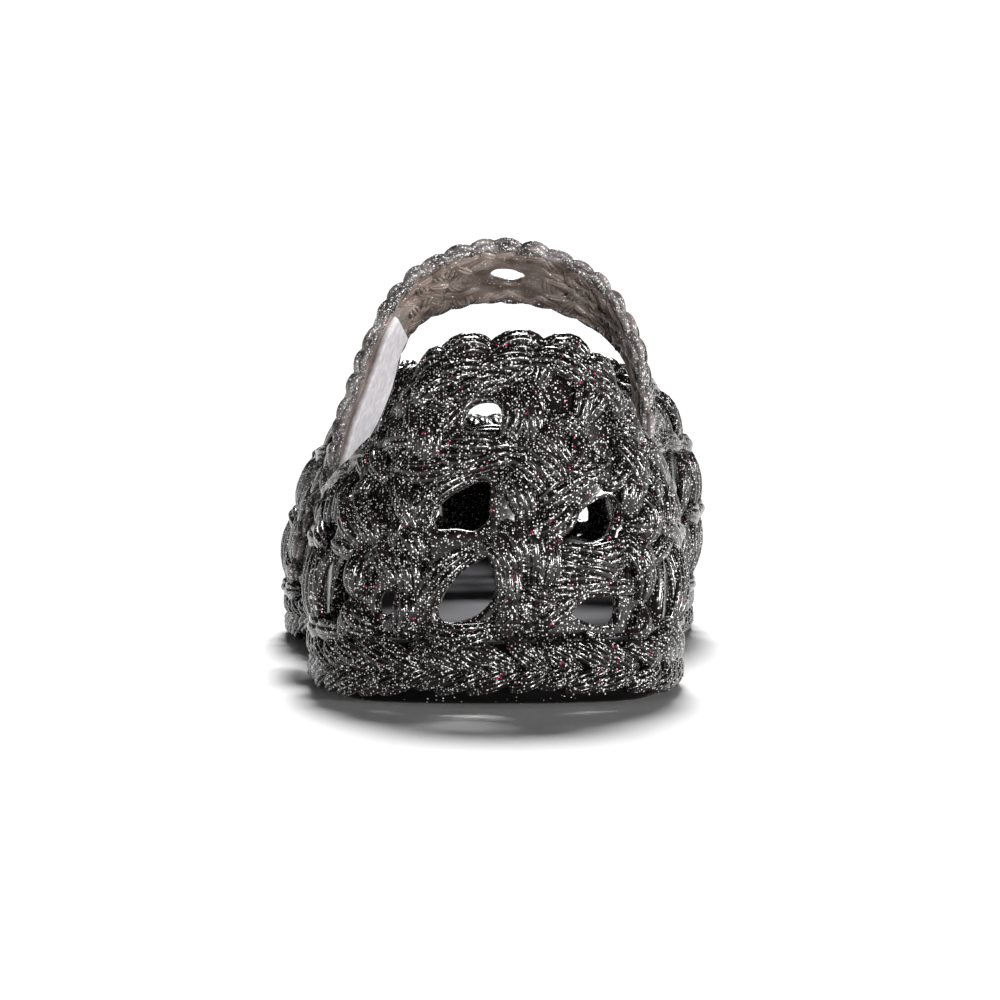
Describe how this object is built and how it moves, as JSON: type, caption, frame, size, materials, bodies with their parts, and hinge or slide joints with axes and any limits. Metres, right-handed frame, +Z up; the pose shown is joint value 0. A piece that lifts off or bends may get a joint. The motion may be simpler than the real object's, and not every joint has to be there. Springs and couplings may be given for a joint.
{
  "type": "jelly sandal",
  "caption": "Left child's jelly sandal: openwork moulded upper like chunky crochet, closed heel and toe, instep strap with hook-and-loop tape, flat sole.",
  "frame": {"origin": "on the floor plane, under the middle of the shoe's bounding box", "axes": "+Y to the toe, +X to the medial (big-toe) side, +Z up"},
  "size_m": [0.0688, 0.1708, 0.0645],
  "materials": {
    "glitter_pvc": "smoky grey moulded PVC full of fine silver glitter with a few pink flecks, glossy",
    "footbed": "smooth matt grey soft foam footbed",
    "closure_tape": "pale silvery lavender hook and loop tape, matt with a fine nap"
  },
  "bodies": {
    "root": {"upper": "glitter_pvc", "sole": "glitter_pvc", "insole": "footbed", "hook_tape": "closure_tape", "loop_tape": "closure_tape"}
  },
  "joints": []
}
